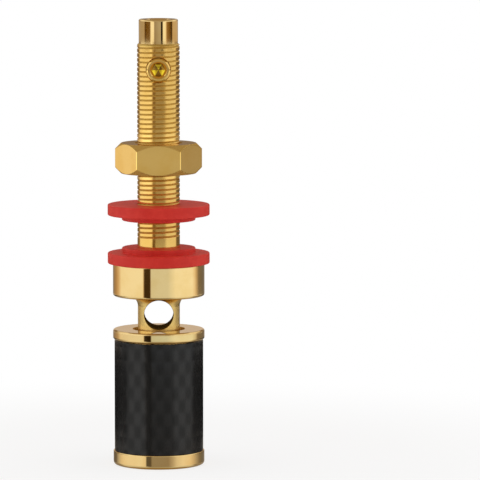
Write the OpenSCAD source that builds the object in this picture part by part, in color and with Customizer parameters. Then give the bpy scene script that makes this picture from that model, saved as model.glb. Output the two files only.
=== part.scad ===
// Gold-plated binding post for a panel: a turned post with a threaded stud and a wire tail at the
// back, and a screw-down knob with a carbon sleeve at the front. It stands on the knob's end, with
// the axis of everything turned along Z and the origin in the middle of the knob's end face.

/* [Knob] */
// Outer diameter of the carbon sleeve
sleeve_d = 18.8; // [18:0.1:22]
// Length of the carbon sleeve
sleeve_l = 23.6; // [21:0.1:32]
// Wall of the carbon sleeve
sleeve_wall = 1.4; // [1:0.1:1.6]
// How far the clamp ring stands out past the sleeve, all round
ring_step = 0.3; // [0:0.05:0.8]
// Thickness of the clamp ring's flange
ring_h = 2.1; // [1.5:0.1:4]
// Rounding of the clamp ring's outer edges
ring_round = 0.4; // [0.1:0.05:0.7]
// Diameter of the clamp ring's mouth, round the neck
mouth_d = 11; // [10:0.1:11.4]
// Wall of the clamp ring's skirt, inside the core
skirt_wall = 1; // [0.9:0.05:1.2]
// Length of the skirt
skirt_l = 4; // [3.2:0.1:5]
// Height of the end ring
end_h = 3; // [2.4:0.1:5]
// How far the end ring stands out past the sleeve, all round
end_step = 0.25; // [0:0.05:0.8]
// Rounding of the end ring's lower outer edge
end_round = 0.7; // [0.2:0.05:1.2]
// Diameter of the hole that lets the banana plug in
plug_hole_d = 5; // [4.4:0.1:6]
// Outer diameter of the dish round that hole
dish_d = 9.6; // [7:0.1:12]
// Depth of the dish
dish_h = 1.2; // [0.4:0.1:1.6]
// Clear way between the stop clip and the chamber that it travels in
chamber_clear = 0.5; // [0.3:0.05:0.7]
// Wall of the end ring's plug, which is pressed into the core
plug_wall = 0.9; // [0.6:0.05:1]
// Height of that plug
plug_h = 3; // [2:0.1:5]

/* [Post front] */
// Opening of the jaw between collar and clamp ring, as the knob stands
jaw_gap = 7.1; // [3:0.1:8]
// Extra way that the knob can be backed off before it meets the stop clip
knob_back = 1; // [0.5:0.1:1.6]
// Diameter of the collar
collar_d = 19.4; // [17:0.1:24]
// Height of the collar
collar_h = 6.9; // [4:0.1:10]
// Rounding of the collar's outer edges
collar_round = 0.5; // [0.1:0.05:1.2]
// Diameter of the neck that a spade lug grips
neck_d = 8.9; // [8.6:0.05:9.4]
// Length of the neck, below the collar
neck_l = 9; // [8:0.1:10]
// Radius of the fillet between neck and collar
neck_fillet = 2.2; // [0.5:0.1:2.6]
// Diameter of the cross-hole for bare wire
cross_hole_d = 6.2; // [3:0.1:6.4]
// Depth of the cross-hole's middle below the collar
cross_hole_drop = 3.75; // [3.4:0.05:4]
// Major diameter of the front spigot's thread
spigot_d = 8.5; // [8:0.05:8.6]
// Diameter of the banana socket
socket_d = 4; // [3.5:0.05:4.2]
// Solid web between the socket and the cross-hole
socket_web = 1.2; // [0.8:0.1:3]
// Lead-in bevel at the socket's mouth
socket_bevel = 0.4; // [0.1:0.05:0.6]

/* [Stud and tail] */
// Major diameter of the stud's thread
stud_d = 9; // [8.6:0.1:10]
// Length of the stud, from the collar to the tail's step
stud_l = 46.6; // [36:0.1:60]
// Chamfer at the stud's end
stud_chamfer = 0.3; // [0.1:0.05:0.3]
// Depth of the step from the stud's crests down to the tail
tail_step = 0.35; // [0.3:0.05:0.6]
// Length of the tail
tail_l = 5.1; // [3:0.1:8]
// Chamfer at the tail's end
tail_chamfer = 0.3; // [0.1:0.05:0.5]
// Diameter of the wire bore in the tail
wire_bore_d = 4.5; // [3:0.1:5]
// Bevel at the wire bore's mouth
wire_bevel = 0.4; // [0.1:0.05:0.6]
// How far the wire bore runs on past the clamp screw
wire_past = 2.6; // [1:0.1:5]

/* [Clamp screw] */
// Major diameter of the clamp screw
screw_d = 5; // [4:0.1:5.4]
// Length of the clamp screw
screw_l = 3; // [2.4:0.1:3.6]
// Depth of the clamp screw's middle below the tail's end
screw_drop = 10.5; // [8.6:0.1:14]
// Clear way between the screw's point and the wire bore, as it stands
screw_clear = 0.1; // [0.05:0.05:0.5]
// Bevel at both ends of the clamp screw
screw_bevel = 0.25; // [0.1:0.05:0.4]
// Width across flats of its hexagon socket
hex_key = 2.5; // [1.5:0.1:2.8]
// Depth of the hexagon socket, at its drill point
hex_depth = 1.9; // [1.6:0.1:2.1]
// Bevel at the hexagon socket's mouth, from its flats outwards
hex_bevel = 0.55; // [0.3:0.05:0.65]
// Depth of the cup in the screw's point
cup_depth = 0.4; // [0.2:0.05:0.5]

/* [Nut and gaskets] */
// Width of the nut across its flats
nut_af = 16; // [14:0.5:20]
// Height of the nut
nut_h = 6.4; // [4:0.1:9]
// Start of the nut's corner chamfer inside its flats, on the end faces
nut_face_in = 0.05; // [0.05:0.05:0.5]
// Countersink at both ends of the nut's bore
nut_sink = 0.5; // [0.2:0.05:0.8]
// Free stud between the rear gasket and the nut
nut_gap = 6.6; // [2:0.1:9]
// Diameter of a gasket's flange
gasket_d = 21.6; // [19:0.1:26]
// Thickness of a gasket's flange
gasket_flange = 2.3; // [1:0.1:3.5]
// Diameter of a gasket's boss, which sits in the panel hole
boss_d = 15.6; // [12:0.1:18]
// Height of a gasket's boss
boss_h = 1.1; // [0.5:0.1:2]
// Rounding of a gasket's edges
gasket_round = 0.25; // [0.05:0.05:0.4]
// Free stud between the two gaskets' bosses
gasket_gap = 5.75; // [1:0.05:8]

/* [Clips] */
// Thickness of the stop clip on the front spigot
clip_h = 0.8; // [0.6:0.05:1]
// Outer diameter of the stop clip
clip_d = 11; // [10.6:0.1:11.4]
// Depth of the stop clip's groove in the spigot
clip_groove = 0.6; // [0.4:0.05:0.8]
// Land left between the groove and the spigot's end
clip_land = 0.8; // [0.6:0.05:1.2]
// Thickness of the snap ring that holds the clamp ring in the core
snap_h = 0.8; // [0.6:0.05:1]
// Depth of the snap ring's groove in the skirt
snap_groove = 0.5; // [0.3:0.05:0.6]
// Depth of the snap ring's groove in the core
core_groove = 0.6; // [0.5:0.05:0.8]
// Width of the gap in both spring clips
clip_gap = 2.5; // [1.5:0.1:4]

/* [Fits] */
// Radial clearance of what runs, slides or screws on what
run_clear = 0.05; // [0.03:0.01:0.08]
// Play of a clip in its groove, and of the clamp ring on the core
play = 0.2; // [0.15:0.01:0.25]
// Distance left at the ends of the knob's travel inside
stop_gap = 0.3; // [0.2:0.05:0.5]

/* [Hidden] */
$fn = 96;
gold = [0.83, 0.68, 0.36];
spring_steel = [0.62, 0.63, 0.65];
drill_point = 1 / tan(59);
over = 1;

// Heights of the seats, from the knob's end upwards
z_ring = end_h + sleeve_l + play;
z_jaw = z_ring + ring_h;
z_collar = z_jaw + jaw_gap;
z_seat = z_collar + collar_h;
gasket_h = gasket_flange + boss_h;
z_rear = z_seat + gasket_h + gasket_gap;
z_nut = z_rear + gasket_h + nut_gap;
z_step = z_seat + stud_l;
z_top = z_step + tail_l;
z_screw = z_top - screw_drop;
z_wire_floor = z_screw - screw_d / 2 - wire_past;
z_cross = z_collar - cross_hole_drop;
z_neck = z_collar - neck_l;
z_spigot = end_h + jaw_gap + stop_gap;
z_clip = z_spigot + clip_land;
z_socket_floor = z_cross - cross_hole_d / 2 - socket_web - socket_d / 2 * drill_point;
z_skirt = z_ring - skirt_l;
z_snap = z_skirt + skirt_l / 2;

// Where the core's inner thread begins and ends: the neck never reaches it when the jaw is shut,
// and the stop clip stops it when the knob is backed off
z_thread_top = z_neck - jaw_gap - stop_gap;
z_thread_low = z_clip + clip_h + knob_back + stop_gap;

ring_d = sleeve_d + 2 * ring_step;
end_d = sleeve_d + 2 * end_step;
tail_d = stud_d - 2 * tail_step;
core_d = sleeve_d - 2 * sleeve_wall - 2 * run_clear;
chamber_d = clip_d + 2 * chamber_clear;
skirt_d = mouth_d + 2 * skirt_wall;
plug_d = chamber_d + 2 * plug_wall;
screw_tip = wire_bore_d / 2 + screw_clear;

// Upright rectangle from the axis out to r, its outer corners rounded by low and high
module disc_section(r, z0, z1, low, high) {
    translate([0, z0]) square([r - low, low + over / 4]);
    translate([0, z0 + low]) square([r, z1 - z0 - low - high]);
    translate([0, z1 - high - over / 4]) square([r - high, high + over / 4]);
    translate([r - low, z0 + low]) circle(low);
    translate([r - high, z1 - high]) circle(high);
}

// Solid of revolution from the sections given as children
module turned() {
    rotate_extrude() intersection() {
        children();
        translate([0, -500]) square([500, 1000]);
    }
}

// Straight hole from z0 up to z1
module hole(d, z0, z1) {
    translate([0, 0, z0]) cylinder(d = d, h = z1 - z0);
}

// Cone that bevels the mouth of a hole of diameter d: at height z, opening upwards (side 1)
// or downwards (side -1), with its depth
module mouth_bevel(d, z, bevel, side) {
    translate([0, 0, z]) mirror([0, 0, side > 0 ? 1 : 0])
        translate([0, 0, -over])
            cylinder(d1 = d + 2 * (bevel + over), d2 = d, h = bevel + over);
}

// Open spring clip lying flat, its gap towards +X
module spring_clip(inner_d, outer_d, z, h) {
    difference() {
        translate([0, 0, z]) cylinder(d = outer_d, h = h);
        hole(inner_d, z - over, z + h + over);
        translate([0, -clip_gap / 2, z - over]) cube([outer_d, clip_gap, h + 2 * over]);
    }
}

// Section of the turned post: spigot, neck with its fillet, collar, stud and tail
module post_section() {
    translate([0, z_spigot]) square([spigot_d / 2, z_neck - z_spigot + over / 4]);
    translate([0, z_neck]) square([neck_d / 2, z_collar - z_neck + over / 4]);
    difference() {
        translate([0, z_collar - neck_fillet])
            square([neck_d / 2 + neck_fillet, neck_fillet + over / 4]);
        translate([neck_d / 2 + neck_fillet, z_collar - neck_fillet]) circle(neck_fillet);
    }
    disc_section(collar_d / 2, z_collar, z_seat, collar_round, collar_round / 2);
    polygon([
        [0, z_seat - over / 4],
        [stud_d / 2, z_seat - over / 4],
        [stud_d / 2, z_step - stud_chamfer],
        [stud_d / 2 - stud_chamfer, z_step],
        [tail_d / 2, z_step],
        [tail_d / 2, z_top - tail_chamfer],
        [tail_d / 2 - tail_chamfer, z_top],
        [0, z_top]
    ]);
}

module post() {
    color(gold) difference() {
        turned() post_section();
        // Wire bore in the tail, with its drill point
        hole(wire_bore_d, z_wire_floor, z_top + over);
        translate([0, 0, z_wire_floor - wire_bore_d / 2 * drill_point])
            cylinder(d1 = 0, d2 = wire_bore_d, h = wire_bore_d / 2 * drill_point);
        mouth_bevel(wire_bore_d, z_top, wire_bevel, 1);
        // Threaded hole of the clamp screw, from the front into the wire bore
        translate([0, 0, z_screw]) rotate([90, 0, 0])
            cylinder(d = screw_d + 2 * run_clear, h = stud_d);
        // Cross-hole through the neck
        translate([0, neck_d, z_cross]) rotate([90, 0, 0]) cylinder(d = cross_hole_d, h = 2 * neck_d);
        // Banana socket, from the spigot's end
        hole(socket_d, z_spigot - over, z_socket_floor);
        translate([0, 0, z_socket_floor])
            cylinder(d1 = socket_d, d2 = 0, h = socket_d / 2 * drill_point);
        mouth_bevel(socket_d, z_spigot, socket_bevel, -1);
        // Groove of the stop clip
        difference() {
            hole(spigot_d + over, z_clip - play / 2, z_clip + clip_h + play / 2);
            hole(spigot_d - 2 * clip_groove, z_clip - over, z_clip + clip_h + over);
        }
    }
}

module stop_clip() {
    color(spring_steel)
        spring_clip(spigot_d - 2 * clip_groove + 2 * run_clear, clip_d, z_clip, clip_h);
}

// Flanged washer that lies on its flange, boss up
module gasket() {
    turned() difference() {
        union() {
            disc_section(gasket_d / 2, 0, gasket_flange, gasket_round, gasket_round);
            disc_section(boss_d / 2, gasket_flange / 2, gasket_h, gasket_round, gasket_round);
        }
        translate([0, -over]) square([stud_d / 2 + run_clear, gasket_h + 2 * over]);
    }
}

module front_gasket() {
    color([0.72, 0.13, 0.11]) translate([0, 0, z_seat]) gasket();
}

module rear_gasket() {
    color([0.72, 0.13, 0.11]) translate([0, 0, z_rear + gasket_h]) mirror([0, 0, 1]) gasket();
}

module hex_nut() {
    face_r = nut_af / 2 - nut_face_in;
    corner_r = nut_af / 2 / cos(30);
    drop = corner_r - face_r;
    color(gold) translate([0, 0, z_nut]) difference() {
        intersection() {
            cylinder(r = corner_r, h = nut_h, $fn = 6);
            rotate_extrude() polygon([
                [0, 0],
                [face_r, 0],
                [corner_r + over, drop + over],
                [corner_r + over, nut_h - drop - over],
                [face_r, nut_h],
                [0, nut_h]
            ]);
        }
        hole(stud_d + 2 * run_clear, -over, nut_h + over);
        mouth_bevel(stud_d + 2 * run_clear, 0, nut_sink, -1);
        mouth_bevel(stud_d + 2 * run_clear, nut_h, nut_sink, 1);
    }
}

// Socket set screw: modelled upright with its point down, then laid along Y
module clamp_screw() {
    color(gold) translate([0, -screw_tip - screw_l, z_screw]) rotate([-90, 0, 0]) difference() {
        rotate_extrude() polygon([
            [0, 0],
            [screw_d / 2 - screw_bevel, 0],
            [screw_d / 2, screw_bevel],
            [screw_d / 2, screw_l - screw_bevel],
            [screw_d / 2 - screw_bevel, screw_l],
            [0, screw_l]
        ]);
        // Hexagon socket, ending in a drill point
        intersection() {
            translate([0, 0, -over])
                cylinder(d = hex_key / cos(30), h = hex_depth + over, $fn = 6);
            rotate_extrude() polygon([
                [0, -over],
                [screw_d / 2, -over],
                [screw_d / 2, hex_depth - screw_d / 2 * drill_point],
                [0, hex_depth]
            ]);
        }
        mouth_bevel(hex_key, 0, hex_bevel, -1);
        // Cup point
        translate([0, 0, screw_l - cup_depth]) cylinder(d1 = 0, d2 = screw_d / 2, h = cup_depth);
    }
}

module clamp_ring() {
    color(gold) turned() difference() {
        union() {
            disc_section(ring_d / 2, z_ring, z_jaw, ring_round, ring_round);
            translate([0, z_skirt]) square([skirt_d / 2, skirt_l + over / 4]);
        }
        translate([0, z_skirt - over]) square([mouth_d / 2, z_jaw - z_skirt + 2 * over]);
        // Groove of the snap ring
        translate([skirt_d / 2 - snap_groove, z_snap - play / 2])
            square([snap_groove + over, snap_h + play]);
    }
}

module snap_ring() {
    color(spring_steel)
        spring_clip(skirt_d - 2 * snap_groove + 2 * run_clear,
                    skirt_d + 2 * core_groove - 2 * run_clear, z_snap, snap_h);
}

module knob_core() {
    z_core_top = end_h + sleeve_l;
    color(gold) difference() {
        hole(core_d, end_h, z_core_top);
        // Seat of the skirt, with the snap ring's groove
        hole(skirt_d + 2 * run_clear, z_skirt - stop_gap, z_core_top + over);
        hole(skirt_d + 2 * run_clear + 2 * core_groove, z_snap - play, z_snap + snap_h + play);
        // Room for the neck, then the thread, then the chamber of the stop clip
        hole(mouth_d, z_thread_top, z_skirt);
        hole(spigot_d + 2 * run_clear, z_thread_low - over, z_thread_top + over);
        hole(chamber_d, end_h, z_thread_low);
        // Seat of the end ring's plug
        hole(plug_d, end_h - over, end_h + plug_h);
    }
}

module carbon_sleeve() {
    color([0.09, 0.09, 0.09]) difference() {
        hole(sleeve_d, end_h, end_h + sleeve_l);
        hole(sleeve_d - 2 * sleeve_wall, end_h - over, end_h + sleeve_l + over);
    }
}

module end_ring() {
    color(gold) difference() {
        turned() union() {
            disc_section(end_d / 2, 0, end_h, end_round, end_round / 4);
            translate([0, end_h - over / 4]) square([plug_d / 2, plug_h + over / 4]);
        }
        hole(chamber_d, end_h, end_h + plug_h + over);
        hole(plug_hole_d, -over, end_h + over);
        translate([0, 0, -over]) cylinder(
            d1 = dish_d + (dish_d - plug_hole_d) * over / dish_h,
            d2 = plug_hole_d,
            h = dish_h + over
        );
    }
}

post();
stop_clip();
front_gasket();
rear_gasket();
hex_nut();
clamp_screw();
clamp_ring();
snap_ring();
knob_core();
carbon_sleeve();
end_ring();
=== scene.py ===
# Looks of the gold-plated binding post: turned and threaded metal, red gaskets and the carbon-wrapped knob
import math
import bpy
import numpy as np
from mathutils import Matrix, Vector


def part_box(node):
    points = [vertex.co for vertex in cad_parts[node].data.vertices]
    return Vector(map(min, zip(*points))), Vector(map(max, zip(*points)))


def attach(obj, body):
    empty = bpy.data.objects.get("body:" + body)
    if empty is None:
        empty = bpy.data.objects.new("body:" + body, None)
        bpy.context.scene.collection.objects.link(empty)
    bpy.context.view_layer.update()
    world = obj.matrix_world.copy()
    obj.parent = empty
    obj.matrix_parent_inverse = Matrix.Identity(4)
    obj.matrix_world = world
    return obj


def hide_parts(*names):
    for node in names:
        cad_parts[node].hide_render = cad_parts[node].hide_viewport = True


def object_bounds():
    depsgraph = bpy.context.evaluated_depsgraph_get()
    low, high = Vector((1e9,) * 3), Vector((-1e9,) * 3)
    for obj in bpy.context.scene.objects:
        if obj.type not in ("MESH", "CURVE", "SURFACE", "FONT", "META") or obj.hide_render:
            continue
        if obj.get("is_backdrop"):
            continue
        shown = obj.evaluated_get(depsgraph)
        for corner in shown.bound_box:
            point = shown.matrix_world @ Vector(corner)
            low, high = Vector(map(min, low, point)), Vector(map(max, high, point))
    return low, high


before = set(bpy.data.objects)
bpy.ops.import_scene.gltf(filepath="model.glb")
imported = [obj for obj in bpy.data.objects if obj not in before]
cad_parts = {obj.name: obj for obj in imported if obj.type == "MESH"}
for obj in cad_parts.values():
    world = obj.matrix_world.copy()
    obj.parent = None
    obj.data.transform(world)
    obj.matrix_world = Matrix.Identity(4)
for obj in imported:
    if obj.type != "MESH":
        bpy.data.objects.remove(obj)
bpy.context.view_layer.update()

mm = 0.001


def heights(node):   # lowest and highest z of a CAD node, in mm
    low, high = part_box(node)
    return low.z / mm, high.z / mm


holdBack = 0.05   # mm from an arc's end to the point that keeps the flat beside it flat


def roundedPath(corners, closed=False, steps=6):
    # Section through (r, z, rounding) corners in mm. Each rounding is an arc that touches both sides:
    # centre = corner + bisector * rounding / sin(half angle), with a point held on the flat beside each end.
    c = np.array(corners, float)
    p, rounding = c[:, :2], c[:, 2]
    toLast, toNext = np.roll(p, 1, 0) - p, np.roll(p, -1, 0) - p
    lastLength, nextLength = np.linalg.norm(toLast, axis=1), np.linalg.norm(toNext, axis=1)
    u, v = toLast / lastLength[:, None], toNext / nextLength[:, None]
    half = 0.5 * np.arccos(np.clip((u * v).sum(1), -1, 0.999999))
    turn = np.maximum(np.pi - 2 * half, 1e-6)
    cut = rounding / np.tan(half)
    bisector = (u + v) / np.maximum(np.linalg.norm(u + v, axis=1), 1e-9)[:, None]
    centre = p + bisector * (rounding / np.sin(half))[:, None]
    a, b = p + u * cut[:, None], p + v * cut[:, None]
    t = np.linspace(0, 1, steps + 1)[None, :, None]
    w = turn[:, None, None]
    arc = centre[:, None] + (np.sin((1 - t) * w) * (a - centre)[:, None]
                             + np.sin(t * w) * (b - centre)[:, None]) / np.sin(w)
    arc = np.where(rounding[:, None, None] > 0, arc, p[:, None])
    holdA = np.minimum(holdBack, lastLength / 4)[:, None] * (rounding > 0)[:, None]
    holdB = np.minimum(holdBack, nextLength / 4)[:, None] * (rounding > 0)[:, None]
    rows = np.concatenate([(a + u * holdA)[:, None], arc, (b + v * holdB)[:, None]], 1)
    if not closed:
        rows[0], rows[-1] = p[0], p[-1]
    path = rows.reshape(-1, 2)
    if closed:
        path = np.vstack([path, path[:1]])
    keep = np.r_[True, np.linalg.norm(np.diff(path, axis=0), axis=1) > 1e-6]
    return path[keep]


def turnedGrid(path, columns):   # the section swept round Z: x = r cos a, y = r sin a
    angle = np.linspace(0, 2 * np.pi, columns + 1)[None]
    r, z = path[:, :1], path[:, 1:]
    return np.stack([r * np.cos(angle), r * np.sin(angle), z + 0 * angle], -1)


def gridQuads(rows, columns):   # the four point numbers of each cell in a grid of points
    index = np.arange(rows * columns).reshape(rows, columns)
    return np.stack([index[:-1, :-1], index[:-1, 1:], index[1:, 1:], index[1:, :-1]], -1).reshape(-1, 4)


weldSteps = 1e4   # steps a mm that points are rounded to before those at one place are joined


def gridMesh(name, grids, sharpAngle=32):
    # Joins grids of points (rows, columns, xyz in mm) into one closed mesh: points at the same place
    # become one, cells that shrink to a line go, and a negative volume turns all faces round.
    points, quads, count = [], [], 0
    for g in grids:
        quads.append(gridQuads(*g.shape[:2]) + count)
        points.append(g.reshape(-1, 3))
        count += len(points[-1])
    points, quads = np.concatenate(points), np.concatenate(quads)
    snapped = np.round(points * weldSteps).astype(np.int64)
    _, first, same = np.unique(snapped, axis=0, return_index=True, return_inverse=True)
    points, quads = points[first], same.reshape(-1)[quads]
    equal = quads == np.roll(quads, -1, 1)      # corner k is the same point as corner k + 1
    crossed = (quads[:, 0] == quads[:, 2]) | (quads[:, 1] == quads[:, 3])
    whole = quads[~equal.any(1) & ~crossed]
    three = quads[(equal.sum(1) == 1) & ~crossed]
    dropped = (three == np.roll(three, -1, 1)).argmax(1)
    three = three[np.arange(4)[None] != dropped[:, None]].reshape(-1, 3)
    corner = [points[whole[:, k]] for k in range(4)]
    volume = sum((corner[0] * np.cross(corner[k], corner[k + 1])).sum() for k in (1, 2))
    corner = [points[three[:, k]] for k in range(3)]
    volume += (corner[0] * np.cross(corner[1], corner[2])).sum()
    if volume < 0:
        whole, three = whole[:, ::-1], three[:, ::-1]
    return meshFrom(name, points * mm, [whole, three], sharpAngle)


def meshFrom(name, points, faceSets, sharpAngle):
    mesh = bpy.data.meshes.new(name)
    mesh.vertices.add(len(points))
    mesh.vertices.foreach_set("co", np.ascontiguousarray(points, np.float32).ravel())
    sizes = np.concatenate([np.full(len(f), f.shape[1]) for f in faceSets])
    loops = np.concatenate([f.ravel() for f in faceSets]).astype(np.int32)
    mesh.loops.add(len(loops))
    mesh.loops.foreach_set("vertex_index", loops)
    mesh.polygons.add(len(sizes))
    mesh.polygons.foreach_set("loop_start", np.r_[0, np.cumsum(sizes)[:-1]].astype(np.int32))
    mesh.update(calc_edges=True)
    mesh.validate()
    crispEdges(mesh, sharpAngle)
    piece = bpy.data.objects.new(name, mesh)
    bpy.context.scene.collection.objects.link(piece)
    return piece


def crispEdges(mesh, sharpAngle):
    mesh.polygons.foreach_set("use_smooth", np.ones(len(mesh.polygons), bool))
    mesh.set_sharp_from_angle(angle=math.radians(sharpAngle))
    mesh.update()


def paint(piece, finish):
    piece.data.materials.clear()
    piece.data.materials.append(finish)


def dress(piece, body, node, finish):   # its finish, the body it rides on, the CAD node it stands for
    paint(piece, finish)
    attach(piece, body)
    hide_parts(node)


def carve(piece, cutter, sharpAngle=32):   # cuts the cutter out of the piece's mesh
    modifier = piece.modifiers.new("carve", "BOOLEAN")
    modifier.operation, modifier.object, modifier.solver = "DIFFERENCE", cutter, "EXACT"
    depsgraph = bpy.context.evaluated_depsgraph_get()
    cut = bpy.data.meshes.new_from_object(piece.evaluated_get(depsgraph))
    piece.modifiers.clear()
    old, piece.data = piece.data, cut
    name = old.name
    bpy.data.meshes.remove(old)
    piece.data.name = name
    spare = cutter.data
    bpy.data.objects.remove(cutter)
    bpy.data.meshes.remove(spare)
    crispEdges(piece.data, sharpAngle)


# One pitch of a cut thread: how deep the surface lies at each share of the pitch (0 crest, 1 root)
threadShare = np.array([0, 0.05, 0.10, 0.15, 0.19, 0.22, 0.26, 0.74, 0.78, 0.81, 0.85, 0.90, 0.95])
threadDepth = np.array([1, 0.92, 0.60, 0.22, 0.05, 0, 0, 0, 0, 0.05, 0.22, 0.60, 0.92])


def threadRadius(z, angle, t):
    # Right-handed: the crest climbs one pitch a turn. Depth grows from nothing over the run-in, and a
    # 45 degree cone, end radius + height left, cuts the far end where that has a radius.
    share = ((z - t["from"]) / t["pitch"] - angle / (2 * np.pi)) % 1
    deep = np.interp(share, np.r_[threadShare, 1], np.r_[threadDepth, threadDepth[0]])
    into = np.clip((z - t["from"]) / t["runIn"], 0, 1)
    out = np.clip((t["to"] - z) / t["runOut"], 0, 1) if t["runOut"] else 1
    radius = t["radius"] - t["depth"] * deep * into * into * (3 - 2 * into) * out
    return np.minimum(radius, t["endRadius"] + (t["to"] - z)) if t["endRadius"] else radius


def threadGrid(t, columns, everyRow=1):
    # Rows follow the helix, z = start + pitch * (turns + share + angle / 2 pi), and are held between
    # the thread's two ends, so that the seam closes and both ends are plain circles.
    angle = np.linspace(0, 2 * np.pi, columns + 1)[None]
    turns = int(math.ceil((t["to"] - t["from"]) / t["pitch"])) + 1
    share = threadShare[::everyRow]
    rows = (np.arange(-1, turns)[:, None] + share[None]).ravel()[:, None]
    z = np.clip(t["from"] + t["pitch"] * (rows + angle / (2 * np.pi)), t["from"], t["to"])
    r = threadRadius(z, angle, t)
    return np.stack([r * np.cos(angle), r * np.sin(angle), z], -1)


def newFinish(name):
    finish = bpy.data.materials.new(name)
    finish.use_nodes = True
    return finish, finish.node_tree.nodes, finish.node_tree.links, finish.node_tree.nodes["Principled BSDF"]


def mathNode(nodes, links, operation, a, b=None):
    n = nodes.new("ShaderNodeMath")
    n.operation = operation
    for socket, value in zip(n.inputs, (a, b)):
        if isinstance(value, (int, float)):
            socket.default_value = value
        elif value is not None:
            links.new(value, socket)
    return n.outputs[0]


def rampNode(nodes, links, factor, stops):
    n = nodes.new("ShaderNodeValToRGB")
    n.color_ramp.interpolation = "EASE"
    for element, (at, colour) in zip(n.color_ramp.elements, stops):
        element.position, element.color = at, (*colour, 1)
    links.new(factor, n.inputs[0])
    return n.outputs[0]


def noiseNode(nodes, links, place, scale, detail=2):
    n = nodes.new("ShaderNodeTexNoise")
    n.inputs["Scale"].default_value, n.inputs["Detail"].default_value = scale, detail
    links.new(place, n.inputs["Vector"])
    return n.outputs["Fac"]


def glossFrom(nodes, links, shader, factor, roughness):   # roughness runs between two values
    gloss = nodes.new("ShaderNodeMapRange")
    gloss.inputs["To Min"].default_value, gloss.inputs["To Max"].default_value = roughness
    links.new(factor, gloss.inputs["Value"])
    links.new(gloss.outputs[0], shader.inputs["Roughness"])


def bumpFrom(nodes, links, shader, height, strength, depth):
    bump = nodes.new("ShaderNodeBump")
    bump.inputs["Strength"].default_value, bump.inputs["Distance"].default_value = strength, depth
    links.new(height, bump.inputs["Height"])
    links.new(bump.outputs[0], shader.inputs["Normal"])


def placeOn(nodes):   # where a point lies on the piece
    return nodes.new("ShaderNodeTexCoord").outputs["Object"]


def axesOf(nodes, links):   # x, y and z of that place
    split = nodes.new("ShaderNodeSeparateXYZ")
    links.new(placeOn(nodes), split.inputs[0])
    return split.outputs


def fromAxis(nodes, links, a, b):   # distance from the axis that a and b are measured from
    squares = [mathNode(nodes, links, "MULTIPLY", side, side) for side in (a, b)]
    return mathNode(nodes, links, "SQRT", mathNode(nodes, links, "ADD", *squares))


def above(nodes, links, value, limit):   # 1 where the value is past a length in mm
    return mathNode(nodes, links, "GREATER_THAN", value, limit * mm)


def below(nodes, links, value, limit):
    return mathNode(nodes, links, "LESS_THAN", value, limit * mm)


def between(nodes, links, value, low, high):
    return mathNode(nodes, links, "MULTIPLY", above(nodes, links, value, low), below(nodes, links, value, high))


goldLook = {
    "bright": (0.93, 0.68, 0.30),
    "deep": (0.89, 0.63, 0.255),
    "clouds": 260,                  # the larger, the smaller the clouds of the two tones
    "roughness": (0.03, 0.06),
    "rings": 9000,                  # turning marks: the larger, the finer
    "ringStrength": 0.015,
    "ringDepth": 0.00001,
}
richGoldLook = {
    **goldLook,
    "bright": (0.95, 0.62, 0.18),
    "deep": (0.91, 0.57, 0.145),
    "roughness": (0.05, 0.09),
}


def goldTone(nodes, links, clouds, look):
    return rampNode(nodes, links, clouds, [(0.30, look["deep"]), (0.62, look["bright"])])


def goldFinish(name, axis="Z", look=goldLook):
    # Polished plate: cloudy tone and gloss, with fine rings left by turning about the axis
    finish, nodes, links, shader = newFinish(name)
    x, y, z = axesOf(nodes, links)
    across, along = ((x, y), z) if axis == "Z" else ((x, z), y)
    ringPlace = nodes.new("ShaderNodeCombineXYZ")
    links.new(fromAxis(nodes, links, *across), ringPlace.inputs[0])
    links.new(along, ringPlace.inputs[1])
    rings = noiseNode(nodes, links, ringPlace.outputs[0], look["rings"])
    clouds = noiseNode(nodes, links, placeOn(nodes), look["clouds"], detail=3)
    clouds.node.name = "clouds"
    links.new(goldTone(nodes, links, clouds, look), shader.inputs["Base Color"])
    glossFrom(nodes, links, shader, clouds, look["roughness"])
    bumpFrom(nodes, links, shader, rings, look["ringStrength"], look["ringDepth"])
    shader.inputs["Metallic"].default_value = 1
    return finish


def layOver(finish, where, colour, roughness, metallic=1):
    # Where the factor is 1, another colour, gloss and metal share take the place of the finish's own
    nodes, links = finish.node_tree.nodes, finish.node_tree.links
    layers = ("RGBA", "Base Color", colour), ("FLOAT", "Roughness", roughness), ("FLOAT", "Metallic", metallic)
    for kind, name, value in layers:
        mix = nodes.new("ShaderNodeMix")
        mix.data_type = kind
        own, other = [s for s in mix.inputs if s.enabled and s.name in ("A", "B")]
        links.new(where, mix.inputs["Factor"])
        socket = nodes["Principled BSDF"].inputs[name]
        if socket.is_linked:
            links.new(socket.links[0].from_socket, own)
        else:
            own.default_value = socket.default_value
        if isinstance(value, bpy.types.NodeSocket):
            links.new(value, other)
        else:
            other.default_value = (*value, 1) if kind == "RGBA" else value
        links.new([s for s in mix.outputs if s.enabled][0], socket)


def layeredGold(name, **options):
    # Gold plate that other tones are laid over, painted shade and a painted reflection among them. The dull ones
    # are set as no metal and get no gloss of their own.
    finish = goldFinish(name, **options)
    nodes, links = finish.node_tree.nodes, finish.node_tree.links
    nodes["Principled BSDF"].inputs["Specular IOR Level"].default_value = 0
    return finish, nodes, links, *axesOf(nodes, links)


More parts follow.
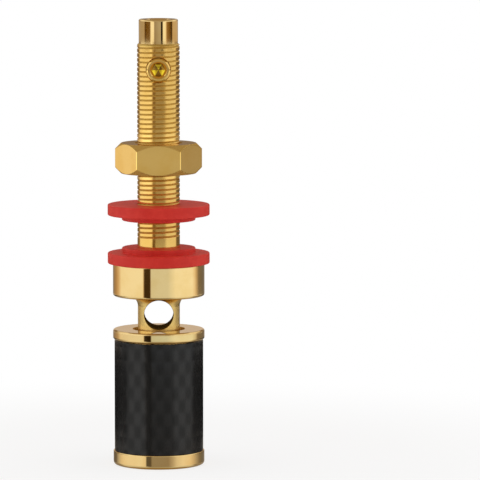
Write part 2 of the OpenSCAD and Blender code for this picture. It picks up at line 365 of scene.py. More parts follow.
neckLook = {"colour": (0.90, 0.64, 0.22), "roughness": 0.33}                        # satin, unlike the collar
holeShadeLook = {"colour": (0.150, 0.088, 0.020), "roughness": 0.6, "metallic": 0}       # painted shade: dark dull brown, not metal, on the cross-hole's wall
grooveShadeLook = {"colour": (0.72, 0.49, 0.130), "roughness": 0.45}                     # painted shade: darker, rougher gold in the stud's thread grooves and drilled holes
chamferShadeLook = {"colour": (0.46, 0.27, 0.065), "roughness": 0.6, "metallic": 0}      # painted shade: dull brown, not metal, on the nut's turned corners and countersinks
mouthReflectionLook = {"colour": (0.85, 0.58, 0.22), "roughness": 0.6, "metallic": 0}         # painted reflection: matte tan, not metal, inside the clamp ring's mouth
# painted highlight and shade for the set screw's socket facets, light and dark in turn
paintedSocketShading = {
    "light": (0.97, 0.70, 0.04), "dark": (0.36, 0.19, 0.03), "roughness": 0.16,
    "radius": 1.5, "under": 0.45,       # mm from the screw's axis and under its face
}
# How far past its wall each tone begins or ends, mm
toneEdge = {"groove": -0.05, "neck": 0.02, "hole": 0.02, "mouth": 0.05, "chamfer": -0.03, "sink": 0.02}


def postFinish(threadLow, threadHigh, crest, neckLow, neckHigh, holeHeight, holeRadius):
    # The turned post: richer plate on the thread, painted shade (darker, rougher gold) in its grooves and
    # drilled holes, a satin neck, and painted shade (dark dull brown) on the cross-hole's wall
    finish, nodes, links, x, y, z = layeredGold("postGoldPlate")
    onThread = between(nodes, links, z, threadLow, threadHigh)
    rich = goldTone(nodes, links, nodes["clouds"].outputs["Fac"], richGoldLook)
    layOver(finish, onThread, rich, richGoldLook["roughness"][1])
    deep = below(nodes, links, fromAxis(nodes, links, x, y), crest + toneEdge["groove"])
    # painted shade: darker, rougher gold below the crests, in the grooves and holes
    layOver(finish, mathNode(nodes, links, "MULTIPLY", onThread, deep), **grooveShadeLook)
    layOver(finish, between(nodes, links, z, neckLow, neckHigh + toneEdge["neck"]), **neckLook)
    up = mathNode(nodes, links, "SUBTRACT", z, holeHeight * mm)
    inHole = below(nodes, links, fromAxis(nodes, links, x, up), holeRadius + toneEdge["hole"])
    # painted shade on the cross-hole's wall
    layOver(finish, inHole, **holeShadeLook)
    return finish


def ringFinish(mouth):
    # The clamp ring: polished outside; within its mouth a matte tan, a painted reflection
    finish, nodes, links, x, y, _ = layeredGold("clampRingGoldPlate")
    layOver(finish, below(nodes, links, fromAxis(nodes, links, x, y), mouth + toneEdge["mouth"]), **mouthReflectionLook)
    return finish


def nutFinish(low, high, face, sink):
    # The nut: polished flats, with painted shade, a dull brown that isn't metal, in the countersinks and where
    # its corners are turned off, that is where radius - depth under the nearer end = face
    finish, nodes, links, x, y, z = layeredGold("nutGoldPlate", look=richGoldLook)
    radius = fromAxis(nodes, links, x, y)
    depth = mathNode(nodes, links, "MINIMUM",
        mathNode(nodes, links, "SUBTRACT", z, low * mm), mathNode(nodes, links, "SUBTRACT", high * mm, z))
    outer = above(nodes, links, mathNode(nodes, links, "SUBTRACT", radius, depth), face + toneEdge["chamfer"])
    inner = below(nodes, links, radius, sink + toneEdge["sink"])
    # painted shade on the turned corners and countersinks
    layOver(finish, mathNode(nodes, links, "MAXIMUM", outer, inner), **chamferShadeLook)
    return finish


def screwFinish(height, face, look=paintedSocketShading):
    # The set screw, with painted highlight and shade in its socket: the facets are light and dark in turn, three
    # of each
    finish = goldFinish("screwGoldPlate", axis="Y", look=richGoldLook)
    nodes, links = finish.node_tree.nodes, finish.node_tree.links
    x, y, z = axesOf(nodes, links)
    up = mathNode(nodes, links, "SUBTRACT", z, height * mm)
    three = mathNode(nodes, links, "MULTIPLY", mathNode(nodes, links, "ARCTAN2", x, up), 3)
    wave = mathNode(nodes, links, "MULTIPLY", mathNode(nodes, links, "COSINE", three), 0.5)
    wave = mathNode(nodes, links, "ADD", wave, 0.5)
    # painted highlight and shade: the socket's facets light and dark in turn
    paintedFacetShade = rampNode(nodes, links, wave, [(0.42, look["dark"]), (0.58, look["light"])])
    near = below(nodes, links, fromAxis(nodes, links, x, up), look["radius"])
    inside = mathNode(nodes, links, "MULTIPLY", near, above(nodes, links, y, face + look["under"]))
    layOver(finish, inside, paintedFacetShade, look["roughness"])
    return finish


rubberLook = {
    "colour": (0.70, 0.030, 0.020),
    "pale": (0.76, 0.042, 0.028),
    "mottle": 420,
    "roughness": (0.42, 0.55),
    "grain": 6500,
    "grainStrength": 0.10,
    "grainDepth": 0.00002,
    "gloss": 0.25,
}


def rubberFinish(look=rubberLook):
    # Satin moulded silicone: faint mottle and a very fine matt grain
    finish, nodes, links, shader = newFinish("satinRedSilicone")
    mottle = noiseNode(nodes, links, placeOn(nodes), look["mottle"], detail=4)
    grain = noiseNode(nodes, links, placeOn(nodes), look["grain"])
    tone = rampNode(nodes, links, mottle, [(0.35, look["colour"]), (0.7, look["pale"])])
    links.new(tone, shader.inputs["Base Color"])
    glossFrom(nodes, links, shader, mottle, look["roughness"])
    bumpFrom(nodes, links, shader, grain, look["grainStrength"], look["grainDepth"])
    shader.inputs["Specular IOR Level"].default_value = look["gloss"]
    return finish


carbonLook = {
    "around": 36,                   # tow crossings round the sleeve, an even number
    "cell": 2.72,                   # height of a crossing, mm
    "turn": 1.3,                    # where an upper tow crosses the front, degrees to the right
    "lift": 24.2,                   # and at what height, mm
    "dim": (0.0300, 0.0298, 0.0290),
    "lit": (0.0455, 0.0450, 0.0440),
    "shine": (0.52, 0.66),          # metal share of the lower and of the upper tows
    "blend": (0.10, 0.86),          # the stretch over which one passes into the other
    "roughness": 0.15,
    "gloss": 0.12,
    "relief": 0.10,
    "reliefDepth": 0.0001,
    "streaks": (4.0, 0.15, 2.2),    # across the tows, along them, and how fine
    "streakShare": 0.25,
}


def carbonFinish(look=carbonLook):
    # Plain weave: tows over and under each other like a chessboard, cos(u) * cos(v). The upper tows are
    # lighter and shine more, and faint streaks darken them.
    finish, nodes, links, shader = newFinish("lacqueredCarbonWeave")
    x, y, z = axesOf(nodes, links)
    azimuth = mathNode(nodes, links, "ARCTAN2", y, x)
    turned = mathNode(nodes, links, "ADD", azimuth, math.radians(90 - look["turn"]))
    u = mathNode(nodes, links, "MULTIPLY", turned, look["around"] / 2)
    lifted = mathNode(nodes, links, "SUBTRACT", z, look["lift"] * mm)
    v = mathNode(nodes, links, "MULTIPLY", lifted, math.pi / (look["cell"] * mm))
    over = mathNode(nodes, links, "MULTIPLY",     # above 0 where the upper tow is on top
        mathNode(nodes, links, "COSINE", u), mathNode(nodes, links, "COSINE", v))
    half = mathNode(nodes, links, "ADD", mathNode(nodes, links, "MULTIPLY", over, 0.5), 0.5)
    tone = rampNode(nodes, links, half, zip(look["blend"], (look["dim"], look["lit"])))
    shine = rampNode(nodes, links, half, zip(look["blend"], [(share, share, share) for share in look["shine"]]))
    across, along, fineness = look["streaks"]
    fibre = nodes.new("ShaderNodeCombineXYZ")
    links.new(mathNode(nodes, links, "MULTIPLY", u, across), fibre.inputs[0])
    links.new(mathNode(nodes, links, "MULTIPLY", v, along), fibre.inputs[1])
    streak = noiseNode(nodes, links, fibre.outputs[0], fineness)
    dusk = nodes.new("ShaderNodeMix")
    dusk.data_type, dusk.blend_type = "RGBA", "MULTIPLY"
    dusk.inputs["Factor"].default_value = look["streakShare"]
    links.new(tone, dusk.inputs["A"])
    links.new(rampNode(nodes, links, streak, [(0.3, (0.6, 0.6, 0.6)), (0.7, (1, 1, 1))]), dusk.inputs["B"])
    links.new(dusk.outputs["Result"], shader.inputs["Base Color"])
    crossings = mathNode(nodes, links, "ABSOLUTE", over)
    bumpFrom(nodes, links, shader, crossings, look["relief"], look["reliefDepth"])
    links.new(shine, shader.inputs["Metallic"])
    shader.inputs["Specular IOR Level"].default_value = look["gloss"]
    shader.inputs["Roughness"].default_value = look["roughness"]
    return finish


steelLook = {
    "dark": (0.42, 0.43, 0.45),
    "light": (0.60, 0.61, 0.63),
    "grain": (400, 400, 9000),      # fineness along x, y and z
    "roughness": 0.32,
}


def steelFinish(look=steelLook):
    # Spring steel with a drawn grain round the axis
    finish, nodes, links, shader = newFinish("springSteel")
    stretch = nodes.new("ShaderNodeMapping")
    stretch.inputs["Scale"].default_value = look["grain"]
    links.new(placeOn(nodes), stretch.inputs["Vector"])
    grain = noiseNode(nodes, links, stretch.outputs[0], 1)
    tone = rampNode(nodes, links, grain, [(0.3, look["dark"]), (0.7, look["light"])])
    links.new(tone, shader.inputs["Base Color"])
    shader.inputs["Metallic"].default_value = 1
    shader.inputs["Roughness"].default_value = look["roughness"]
    return finish


zSeat, zFlangeTop = heights("front_gasket")
zSpigot, zTop = heights("post")
screwLow, screwHigh = heights("clamp_screw")
zScrew = (screwLow + screwHigh) / 2
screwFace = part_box("clamp_screw")[0].y / mm

post = {
    "columns": 112,
    "spigot": 4.25, "neck": 4.45, "collar": 9.7, "stud": 4.5, "tail": 4.15,       # radii
    "neckLength": 9.0, "neckFillet": 2.2, "filletRoom": 5.0,    # the neck is straight below the fillet's room
    "collarHeight": 6.9, "collarRound": 0.5,
    "studBevel": 0.3, "plainBand": 1.7,       # smooth stud just behind the front gasket
    "tailLength": 5.1, "tailRound": 0.3,
    "socket": 2.0, "socketFloor": 26.75, "socketMouth": 0.4,
    "wireBore": 2.25, "wireFloor": 79.0, "wireMouth": (0.3, 0.4),
    "drillTip": 0.6,                          # rise of a drilled floor to its radius
    "clipGroove": 3.65, "clipRoom": 0.1,
    "crossHole": 3.1, "crossDrop": 3.75, "crossEdge": 0.12,
    "screwHole": 2.55, "screwEdge": 0.2, "drillReach": 12,
}
zCollar = zSeat - post["collarHeight"]
zNeck = zCollar - post["neckLength"]
zStep = zTop - post["tailLength"]
zCross = zCollar - post["crossDrop"]

gold = goldFinish("goldPlate")
postGold = postFinish(zFlangeTop, zStep, post["stud"], zNeck, zCollar, zCross, post["crossHole"])
screwGold = screwFinish(zScrew, screwFace)
red, carbon, steel = rubberFinish(), carbonFinish(), steelFinish()
print("finishes ready")

studThread = {
    "radius": post["stud"], "depth": 0.20, "pitch": 1.0,
    "from": zFlangeTop + post["plainBand"], "to": zStep,
    "runIn": 0.7, "runOut": 0, "endRadius": post["stud"] - post["studBevel"],
}
spigotThread = {
    "radius": post["spigot"], "depth": 0.32, "pitch": 1.0,
    "from": zSpigot + 1.9, "to": zNeck - 0.4,
    "runIn": 0.6, "runOut": 0.6, "endRadius": 0,
}


def turnPost(p):
    # Spigot, neck and collar, and tail are sections swept round the axis, with the two threads between them
    clipLow, clipHigh = heights("stop_clip")
    clipLow, clipHigh = clipLow - p["clipRoom"], clipHigh + p["clipRoom"]
    spigot = roundedPath([
        (0, p["socketFloor"] + p["socket"] * p["drillTip"], 0), (p["socket"], p["socketFloor"], 0),
        (p["socket"], zSpigot + p["socketMouth"], 0), (p["socket"] + p["socketMouth"], zSpigot, 0),
        (p["spigot"], zSpigot, 0.15), (p["spigot"], clipLow, 0.05),
        (p["clipGroove"], clipLow, 0), (p["clipGroove"], clipHigh, 0),
        (p["spigot"], clipHigh, 0.05), (p["spigot"], spigotThread["from"], 0),
    ])
    collar = roundedPath([
        (p["spigot"], spigotThread["to"], 0), (p["spigot"], zNeck, 0), (p["neck"], zNeck, 0.1),
        (p["neck"], zCollar - p["filletRoom"], 0), (p["neck"], zCollar, p["neckFillet"]),
        (p["collar"], zCollar, p["collarRound"]), (p["collar"], zSeat, p["collarRound"] / 2),
        (p["stud"], zSeat, 0), (p["stud"], studThread["from"], 0),
    ], steps=10)
    wider, deeper = p["wireMouth"]
    tail = roundedPath([
        (p["stud"] - p["studBevel"], zStep, 0), (p["tail"], zStep, 0), (p["tail"], zTop, p["tailRound"]),
        (p["wireBore"] + wider, zTop, 0.1), (p["wireBore"], zTop - deeper, 0.1),
        (p["wireBore"], p["wireFloor"], 0), (0, p["wireFloor"] - p["wireBore"] * p["drillTip"], 0),
    ])
    n = p["columns"]
    return gridMesh("turnedPost", [
        turnedGrid(spigot, n), threadGrid(spigotThread, n, everyRow=2), turnedGrid(collar, n),
        threadGrid(studThread, n), turnedGrid(tail, n)])


def drillTool(name, radius, edge, barrel, height, reach, through, sides=96):
    # Round cutter along Y that widens by the edge just where it leaves a barrel of that radius,
    # so the skin is at |y| = sqrt(barrel^2 - (radius cos a)^2)
    angle = np.linspace(0, 2 * np.pi, sides + 1)[None]
    skin = np.sqrt(barrel ** 2 - (radius * np.cos(angle)) ** 2)
    front = np.vstack([-reach + 0 * skin, -skin, edge - skin])
    wide = radius + np.array([edge, edge, 0])[:, None] + 0 * angle
    if through:
        y, r = np.vstack([front, -front[::-1]]), np.vstack([wide, wide[::-1]])
    else:
        y, r = np.vstack([front, 0 * angle]), np.vstack([wide, 0 * angle + radius])
    y, r = np.vstack([y[:1], y, y[-1:]]), np.vstack([0 * angle, r, 0 * angle])
    return gridMesh(name, [np.stack([r * np.cos(angle), y, r * np.sin(angle) + height], -1)])


turnedPost = turnPost(post)
for hole, barrel, height, through in (("cross", "neck", zCross, True), ("screw", "stud", zScrew, False)):
    radius, edge = post[hole + "Hole"], post[hole + "Edge"]
    carve(turnedPost, drillTool(hole + "Drill", radius, edge, post[barrel], height, post["drillReach"], through))
dress(turnedPost, "post_body", "post", postGold)
print("post:", len(turnedPost.data.polygons), "faces")

gasket = {
    "columns": 128,
    "flange": 10.8, "flangeHeight": 2.3, "boss": 7.8, "bossHeight": 1.1, "bore": 4.55,
    "round": 0.25, "boreRound": 0.08, "innerRound": 0.1,
}


def gasketSection(g):   # lies on its flange, boss up
    top = g["flangeHeight"] + g["bossHeight"]
    return roundedPath([
        (g["bore"], 0, g["boreRound"]), (g["flange"], 0, g["round"]),
        (g["flange"], g["flangeHeight"], g["round"]), (g["boss"], g["flangeHeight"], g["innerRound"]),
        (g["boss"], top, g["round"]), (g["bore"], top, g["boreRound"]),
    ], closed=True)


for node, name, body in (
        ("front_gasket", "frontGasket", "post_body"), ("rear_gasket", "rearGasket", "rear_gasket_body")):
    low, high = heights(node)
    path = gasketSection(gasket)
    path[:, 1] = low + path[:, 1] if node == "front_gasket" else high - path[:, 1]
    dress(gridMesh(name, [turnedGrid(path, gasket["columns"])]), body, node, red)
print("gaskets ready")

nut = {"flats": 8.0, "height": 6.4, "faceIn": 0.05, "bore": 4.55, "sink": 0.5, "corner": 0.3, "edge": 0.07}


def nutGrid(n):
    # r(angle) is the hexagon, flats / cos, with an arc at each corner; top and bottom corners are cut
    # by a 45 degree cone that starts just inside the flats, and every edge is eased by two small cuts.
    step = np.radians([0, 0.3, 0.6, 0.95, 1.3, 2.2, 4, 7, 11, 16, 22, 30])
    away = np.r_[step, -step[-2:0:-1]]      # angle from the nearest corner
    angle = (np.arange(6)[:, None] * np.pi / 3 + np.where(away < 0, away + np.pi / 3, away)[None]).ravel()
    away = np.tile(away, 6)
    centre = (n["flats"] - n["corner"]) / math.cos(math.pi / 6)
    inside = np.clip(n["corner"] ** 2 - (centre * np.sin(away)) ** 2, 0, None)
    flat = n["flats"] / np.cos(np.pi / 6 - np.abs(away))
    touch = math.atan2(n["corner"] * 0.5, centre + n["corner"] * math.cos(math.pi / 6))
    r = np.where(np.abs(away) < touch, centre * np.cos(away) + np.sqrt(inside), flat)
    order = np.argsort(angle)
    angle, r = np.r_[angle[order], angle[order][:1] + 2 * np.pi], np.r_[r[order], r[order][:1]]
    face = n["flats"] - n["faceIn"]
    one, h, bore, sink = np.ones_like(r), n["height"], n["bore"], n["sink"]
    rz = np.array([
        (bore * one, sink * one), ((bore + sink) * one, 0 * one), (face * one, 0 * one), (r, r - face),
        (r, h - r + face), (face * one, h * one), ((bore + sink) * one, h * one),
        (bore * one, (h - sink) * one),
    ]).transpose(0, 2, 1)                   # corner, column, (r, z)
    toLast, toNext = np.roll(rz, 1, 0) - rz, np.roll(rz, -1, 0) - rz
    lastLength = np.linalg.norm(toLast, axis=-1, keepdims=True)
    nextLength = np.linalg.norm(toNext, axis=-1, keepdims=True)
    most = 0.24                             # share of a side that a cut may take
    cutA = toLast * np.minimum(n["edge"] / lastLength, most)
    cutB = toNext * np.minimum(n["edge"] / nextLength, most)
    rows = np.stack([rz + 2 * cutA, rz + cutA, rz + (cutA + cutB) / 4, rz + cutB, rz + 2 * cutB], 1)
    rows = rows.reshape(-1, *rows.shape[2:])
    rows = np.concatenate([rows, rows[:1]])
    return np.stack([rows[..., 0] * np.cos(angle), rows[..., 0] * np.sin(angle), rows[..., 1]], -1)


nutPoints = nutGrid(nut)
nutLow, nutHigh = heights("hex_nut")
nutPoints[..., 2] += nutLow
nutGold = nutFinish(nutLow, nutHigh, nut["flats"] - nut["faceIn"], nut["bore"] + nut["sink"])
dress(gridMesh("hexNut", [nutPoints], sharpAngle=50), "nut_body", "hex_nut", nutGold)
print("nut ready")

screw = {
    "columns": 96, "threadRows": 46,
    "radius": 2.5, "length": 3.0, "bevel": 0.26, "cup": 0.4,
    "pitch": 0.8, "depth": 0.35, "run": 0.3,
    "key": 2.5, "keyDepth": 1.9, "drillSlope": 0.6, "mouth": 1.8,
    "rim": 0.04, "ease": (0.05, 0.02),      # flat round the mouth, and the cut on the face's edge
}


def screwGrid(s):
    # From the socket's drill point out over the face, along the thread and round the cup point.
    # The socket's wall is a hexagon, key / 2 / cos, between the drill's cone and the bevel's cone.
    angle = np.linspace(0, 2 * np.pi, s["columns"] + 1)
    hexagon = s["key"] / 2 / np.cos(np.abs(angle % (np.pi / 3) - np.pi / 6))
    one = np.ones_like(angle)
    radius, length, bevel, mouth = s["radius"], s["length"], s["bevel"], s["mouth"]
    easeIn, easeDown = s["ease"]
    socket = [
        (0 * one, s["keyDepth"] * one), (hexagon, s["keyDepth"] - s["drillSlope"] * hexagon),
        (hexagon, mouth - hexagon), (mouth * one, 0 * one), ((mouth + s["rim"]) * one, 0 * one),
        ((radius - bevel - easeIn) * one, 0 * one), ((radius - bevel) * one, easeDown * one),
        (radius * one, bevel * one),
    ]
    along = np.linspace(bevel, length - bevel, s["threadRows"])[1:-1, None]
    share = (along / s["pitch"] - angle[None] / (2 * np.pi)) % 1
    deep = np.interp(share, np.r_[threadShare, 1], np.r_[threadDepth, 1])
    rise = np.clip(np.minimum(along - bevel, length - bevel - along) / s["run"], 0, 1)
    end = [
        (radius * one, (length - bevel) * one), ((radius - bevel) * one, length * one),
        (radius / 2 * one, length * one), (0 * one, (length - s["cup"]) * one),
    ]
    r = np.vstack([[a for a, _ in socket], radius - s["depth"] * deep * rise, [a for a, _ in end]])
    y = np.vstack([[b for _, b in socket], along + 0 * angle[None], [b for _, b in end]])
    return np.stack([r * np.cos(angle), y, r * np.sin(angle)], -1)


screwPoints = screwGrid(screw)
screwPoints += (0, screwFace, zScrew)
dress(gridMesh("clampScrew", [screwPoints]), "clamp_screw_body", "clamp_screw", screwGold)
print("clamp screw ready")

knob = {
    "columns": 144,
    "ring": 9.7, "ringRound": 0.4, "ringHeight": 2.1, "mouth": 5.5, "skirt": 6.5,
    "snapGroove": 0.5, "snapRoom": 0.1,
    "sleeve": 9.4, "sleeveInside": 8.0,
    "end": 9.65, "endHeight": 3.0, "endRound": 0.7, "plug": 6.9, "chamber": 6.0,
    "plugHole": 2.5, "dish": 4.8, "dishDepth": 1.2,
}


def ringSection(k):
    skirtLow, top = heights("clamp_ring")
    flange = top - k["ringHeight"]
    snapLow, snapHigh = heights("snap_ring")
    snapLow, snapHigh = snapLow - k["snapRoom"], snapHigh + k["snapRoom"]
    snapFloor = k["skirt"] - k["snapGroove"]
    return roundedPath([
        (k["mouth"], skirtLow, 0.05), (k["skirt"], skirtLow, 0.15),
        (k["skirt"], snapLow, 0), (snapFloor, snapLow, 0), (snapFloor, snapHigh, 0), (k["skirt"], snapHigh, 0),
        (k["skirt"], flange, 0),
        (k["ring"], flange, k["ringRound"]), (k["ring"], top, k["ringRound"]), (k["mouth"], top, 0.12),
    ], closed=True)


def endSection(k):
    low, plugTop = heights("end_ring")
    top = low + k["endHeight"]
    return roundedPath([
        (k["dish"], low, 0.15), (k["end"], low, k["endRound"]), (k["end"], top, k["endRound"] / 4),
        (k["plug"], top, 0), (k["plug"], plugTop, 0.1), (k["chamber"], plugTop, 0.05), (k["chamber"], top, 0),
        (k["plugHole"], top, 0.1), (k["plugHole"], low + k["dishDepth"], 0.12),
    ], closed=True)


def sleeveSection(k):
    low, high = heights("carbon_sleeve")
    return roundedPath([
        (k["sleeveInside"], low, 0.05), (k["sleeve"], low, 0.1),
        (k["sleeve"], high, 0.1), (k["sleeveInside"], high, 0.05),
    ], closed=True)


for name, section, body, node, slot, finish in (
        ("clampRing", ringSection, "clamp_ring_body", "clamp_ring", "gold_plate", ringFinish(knob["mouth"])),
        ("endRing", endSection, "knob_body", "end_ring", "gold_plate", gold),
        ("carbonSleeve", sleeveSection, "knob_body", "carbon_sleeve", "carbon_fibre", carbon)):
    dress(gridMesh(name, [turnedGrid(section(knob), knob["columns"])]), body, node, finish)

for node, finish in (("knob_core", gold), ("snap_ring", steel), ("stop_clip", steel)):
    paint(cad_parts[node], finish)
print("knob ready")

shot = {
    "distance": 1.0, "elevation": 6.0,      # metres, and degrees up from the height below
    "height": 0.047,
    "aim": (0.01722, 0.0, 0.04775),
    "lens": 354.1, "sensor": 36, "clip": (0.05, 20),
}


def placeCamera(s):
    camera = bpy.data.objects.new("camera", bpy.data.cameras.new("camera"))
    bpy.context.scene.collection.objects.link(camera)
    up = math.radians(s["elevation"])
    camera.location = Vector((0, -s["distance"] * math.cos(up), s["height"] + s["distance"] * math.sin(up)))
    camera.rotation_euler = (Vector(s["aim"]) - camera.location).to_track_quat("-Z", "Y").to_euler()
    camera.data.lens, camera.data.sensor_width = s["lens"], s["sensor"]
    camera.data.clip_start, camera.data.clip_end = s["clip"]
    bpy.context.scene.camera = camera


placeCamera(shot)


def bothSides(stops):   # the same to the left of the camera as to the right
    return [(-azimuth, level, warmth) for azimuth, level, warmth in reversed(stops)] + stops


# The tent is a cylinder of light round the part, and its dark strips draw the metal. Each zone is a stretch
# of its height in mm with stops of azimuth, degrees to the right of the camera, level and warmth.
studStops = [
    (-180, 0.6, 0.35), (-168, 0.6, 0.35), (-160, 0.18, 0.5), (-129, 0.2, 0.5), (-117, 1.0, 0.0),
    (-37, 1.0, 0.0), (-29, 0.2, 0.7), (-17, 0.22, 0.7), (-14, 0.34, 0.2), (31, 0.35, 0.2), (46, 0.78, 0.0),
    (104, 0.82, 0.0), (114, 0.16, 0.4), (160, 0.14, 0.4), (168, 0.6, 0.35), (180, 0.6, 0.35),
]
tent = {
    "radius": 0.25, "rows": 41, "cardReach": 1.05,
    "brown": (1.0, 0.52, 0.08),     # the light's colour at warmth 1; below 0 it turns bluish
    "cards": [                      # height in metres and glow of the dim cards above and below
        (0.3, (0.36, 0.27, 0.14)),
        (-0.27, (0.3, 0.22, 0.11)),
    ],
    "zones": {
        "farBelow": ((-260, -140), bothSides([
            (25, 0.45, 0.1), (40, 0.6, 0.0), (105, 0.6, 0.0), (120, 0.3, 0.2), (180, 0.3, 0.2),
        ])),
        "below": ((-115, -50), [
            (-180, 0.3, 0.2), (-120, 0.3, 0.2), (-100, 0.75, 0.0), (-36, 0.75, 0.0), (-24, 0.3, 0.1),
            (30, 0.35, 0.1), (46, 0.75, 0.0), (90, 0.75, 0.0), (106, 0.3, 0.2), (180, 0.3, 0.2),
        ]),
        "endRing": ((-46, -31), [
            (-180, 0.5, 0.5), (-160, 0.15, 0.3), (-138, 0.16, 0.3), (-124, 0.48, 0.1), (-110, 0.78, 0.2),
            (-98, 0.88, 0.1), (-44, 0.9, 0.0), (-34, 0.85, 0.1), (-31, 0.12, 0.1), (-21, 0.12, 0.3),
            (-17, 0.32, 0.2), (23, 0.31, 0.3), (35, 0.5, 0.2), (46, 0.74, 0.1), (62, 0.88, 0.1),
            (84, 0.86, 0.2), (100, 0.6, 0.3), (108, 0.45, 0.2), (122, 0.24, 0.3), (135, 0.18, 0.2),
            (150, 0.17, 0.1), (180, 0.5, 0.5),
        ]),
        "sleeve": ((-30, -5.4), [
            (-180, 0.0, 0.0), (-94, 0.0, 0.0), (-80, 0.9, 0.0), (-38, 0.95, 0.0), (-33, 0.6, 0.2),
            (-28, 0.06, 0.4), (-21, 0.06, 0.4), (-16, 0.3, 0.0), (20, 0.33, 0.0), (34, 0.4, 0.0),
            (43, 0.95, 0.0), (88, 0.88, 0.0), (100, 0.08, 0.0), (106, 0.0, 0.0), (180, 0.0, 0.0),
        ]),
        "clampRing": ((-4.4, 0.3), [
            (-180, 0.6, 0.6), (-160, 0.26, 0.4), (-140, 0.38, 0.5), (-126, 0.5, 0.5), (-112, 0.82, 0.1),
            (-44, 0.84, -0.05), (-38.5, 0.83, 0.0), (-36, 0.02, 0.8), (-20.3, 0.02, 0.8), (-18, 0.64, -0.3),
            (20, 0.67, -0.3), (36, 0.86, -0.2), (93, 0.88, -0.2), (104, 0.68, 0.0), (114, 0.24, 0.3),
            (150, 0.17, 0.2), (180, 0.6, 0.6),
        ]),
        "neck": ((1.1, 6.6), [
            (-180, 0.85, 0.0), (-162, 0.5, 0.0), (-156, 0.98, 0.0), (-148, 0.98, 0.0), (-138, 0.58, 0.0),
            (-39, 0.6, 0.0), (-36, 0.05, 0.5), (-21, 0.05, 0.5), (-18, 0.6, 0.0), (96, 0.6, 0.0),
            (104, 1.5, 0.0), (136, 1.5, 0.0), (146, 0.3, 0.3), (160, 0.2, 0.4), (180, 0.85, 0.0),
        ]),
        "collar": ((7.7, 19), [
            (-180, 0.5, 0.4), (-160, 0.26, 0.3), (-150, 0.34, 0.6), (-135, 0.46, 0.7), (-121, 0.68, 0.5),
            (-108, 0.97, 0.0), (-44, 0.97, -0.04), (-39.8, 0.97, 0.0), (-35.8, 0.055, 0.8),
            (-21.5, 0.055, 0.8), (-19, 0.72, -0.12), (22, 0.73, -0.12), (42, 0.98, -0.06), (92, 1.0, -0.04),
            (101, 0.88, 0.2), (110, 0.55, 0.4), (119, 0.22, 0.3), (150, 0.165, 0.15), (180, 0.5, 0.4),
        ]),
        "stud": ((20, 38.5), studStops),
        "nut": ((39, 49.5), [
            (-180, 0.6, 0.6), (-168, 0.6, 0.6), (-150, 0.5, 0.3), (-130, 0.88, 0.1), (-112, 0.88, 0.1),
            (-90, 1.5, -0.2), (-50, 1.5, -0.2), (-30, 0.6, 0.1), (-14, 0.55, 0.0), (14, 0.55, 0.0),
            (40, 1.1, -0.1), (90, 1.1, -0.1), (108, 0.42, 0.14), (168, 0.42, 0.14), (172, 0.6, 0.6),
            (180, 0.6, 0.6),
        ]),
        "studTop": ((50, 74), studStops),
        "tail": ((74.4, 84), [
            (-180, 0.4, 0.4), (-150, 0.44, 0.3), (-94, 0.46, 0.3), (-89, 0.42, 0.5), (-84, 0.08, 1.0),
            (-70, 0.18, 1.0), (-56, 0.18, 0.9), (-49, 0.24, 0.7), (-44, 1.05, 0.0), (-27, 1.05, 0.0),
            (-22, 0.36, 0.3), (0, 0.46, 0.15), (14, 0.5, 0.1), (16, 0.0, 0.8), (24, 0.0, 0.8),
            (28, 1.05, -0.1), (42, 1.05, 0.0), (52, 0.32, 0.8), (72, 0.17, 1.0), (85, 0.03, 1.0),
            (93, 0.6, 0.4), (146, 0.58, 0.4), (160, 0.4, 0.3), (180, 0.4, 0.4),
        ]),
        "above": ((88, 125), bothSides([
            (25, 0.4, 0.2), (45, 0.9, 0.0), (115, 0.9, 0.0), (140, 0.24, 0.6), (180, 0.24, 0.6),
        ])),
        "farAbove": ((140, 300), bothSides([
            (25, 0.5, 0.2), (45, 0.95, 0.0), (115, 0.95, 0.0), (140, 0.7, 0.2), (180, 0.6, 0.2),
        ])),
    },
}


def glowFinish(name):
    glow, nodes, links, shader = newFinish(name)
    nodes.remove(shader)
    emission = nodes.new("ShaderNodeEmission")
    links.new(emission.outputs[0], nodes["Material Output"].inputs["Surface"])
    return glow, nodes, links, emission


def flatSheet(name, half, height):   # a level square, half as wide as it says
    corners = half * np.array([(-1, -1, 0), (1, -1, 0), (1, 1, 0), (-1, 1, 0)]) + (0, 0, height)
    return meshFrom(name, corners, [np.array([[0, 1, 2, 3]])], 180)


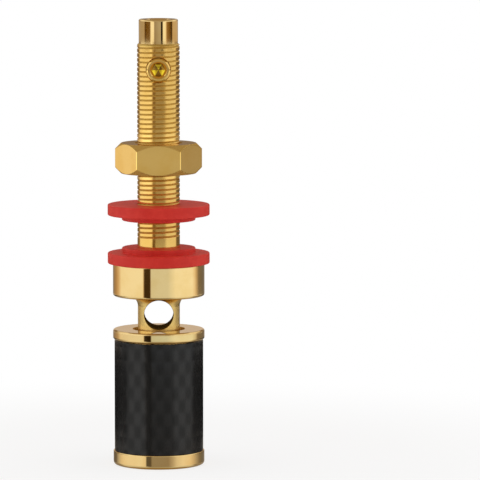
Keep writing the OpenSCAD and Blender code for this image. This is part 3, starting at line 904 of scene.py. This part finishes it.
def hangTent(t):
    # A zone's stops give its colour at each azimuth. Between two zones it changes evenly with height:
    # colour = lower * (1 - share) + upper * share
    azimuth = np.arange(-180, 181, 1.0)
    spans, stops = zip(*t["zones"].values())
    stops = [np.array(s).T for s in stops]
    level, warmth = [np.array([np.interp(azimuth, s[0], s[k]) for s in stops]) for k in (1, 2)]
    colour = (level[..., None] * (1 - warmth[..., None] * (1 - np.array(t["brown"])))).repeat(2, 0)
    edges = np.ravel(spans).astype(float)
    height = np.unique(np.r_[edges, np.linspace(edges[0], edges[-1], t["rows"])])
    upper = np.clip(np.searchsorted(edges, height, side="right"), 1, len(edges) - 1)
    share = ((height - edges[upper - 1]) / (edges[upper] - edges[upper - 1]))[:, None, None]
    colour = colour[upper - 1] * (1 - share) + colour[upper] * share
    a, h = np.meshgrid(np.radians(azimuth), height * mm)
    points = np.stack([t["radius"] * np.sin(a), -t["radius"] * np.cos(a), h], -1).reshape(-1, 3)
    wall = meshFrom("tent", points, [gridQuads(*a.shape)], 180)
    rgba = np.ones((a.size, 4), np.float32)
    rgba[:, :3] = colour.reshape(-1, 3)
    wall.data.color_attributes.new("level", "FLOAT_COLOR", "POINT").data.foreach_set("color", rgba.ravel())
    glow, nodes, links, emission = glowFinish("tentGlow")
    painted = nodes.new("ShaderNodeVertexColor")
    painted.layer_name = "level"
    links.new(painted.outputs["Color"], emission.inputs["Color"])
    wall.data.materials.append(glow)
    wall.visible_camera = False
    wall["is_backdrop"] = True
    for number, (height, tone) in enumerate(t["cards"]):     # only reflections see the cards
        card = flatSheet(f"card{number}", t["radius"] * t["cardReach"], height)
        glow, nodes, links, emission = glowFinish(f"cardGlow{number}")
        emission.inputs["Color"].default_value = (*tone, 1)
        card.data.materials.append(glow)
        card.visible_camera = card.visible_diffuse = card.visible_shadow = card.visible_transmission = False
        card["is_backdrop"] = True


hangTent(tent)

stageLook = {
    "floor": (0.98, 0.98, 0.98), "roughness": 0.9,
    "half": 6.0, "drop": 0.00005,       # metres; the floor lies a hair below the foot
    "shadowNear": 0.05, "shadowFar": 0.14, "shadowShare": 0.25,     # from far on, the floor is even white
    "sky": 0.9,                         # the room as light; as a background it is 1, white
}


def layFloor(look):
    # Pale floor: near the part it takes light and shadow, further out it is even white
    floor = flatSheet("floor", look["half"], -look["drop"])
    finish, nodes, links, shader = newFinish("paleFloor")
    shader.inputs["Base Color"].default_value = (*look["floor"], 1)
    shader.inputs["Roughness"].default_value = look["roughness"]
    shader.inputs["Specular IOR Level"].default_value = 0
    white = nodes.new("ShaderNodeEmission")
    path = nodes.new("ShaderNodeLightPath")
    far = nodes.new("ShaderNodeVectorMath")
    far.operation = "LENGTH"
    links.new(placeOn(nodes), far.inputs[0])
    ease = nodes.new("ShaderNodeMapRange")
    ease.interpolation_type = "SMOOTHSTEP"
    ease.inputs["From Min"].default_value = look["shadowNear"]
    ease.inputs["From Max"].default_value = look["shadowFar"]
    ease.inputs["To Min"].default_value = 1 - look["shadowShare"]
    links.new(far.outputs["Value"], ease.inputs["Value"])
    mix = nodes.new("ShaderNodeMixShader")
    links.new(mathNode(nodes, links, "MULTIPLY", ease.outputs[0], path.outputs["Is Camera Ray"]), mix.inputs[0])
    links.new(shader.outputs[0], mix.inputs[1])
    links.new(white.outputs[0], mix.inputs[2])
    links.new(mix.outputs[0], nodes["Material Output"].inputs["Surface"])
    floor.data.materials.append(finish)
    floor.visible_glossy = False
    floor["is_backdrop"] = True


def lightRoom(look):   # white to the camera, a little less as light
    world = bpy.data.worlds.new("paleRoom")
    bpy.context.scene.world = world
    world.use_nodes = True
    nodes, links = world.node_tree.nodes, world.node_tree.links
    path = nodes.new("ShaderNodeLightPath")
    extra = mathNode(nodes, links, "MULTIPLY", path.outputs["Is Camera Ray"], 1 - look["sky"])
    links.new(mathNode(nodes, links, "ADD", extra, look["sky"]), nodes["Background"].inputs["Strength"])
    nodes["Background"].inputs["Color"].default_value = (1, 1, 1, 1)


layFloor(stageLook)
lightRoom(stageLook)
bpy.context.scene.view_settings.view_transform = "Standard"
print("stage ready")

low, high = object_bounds()
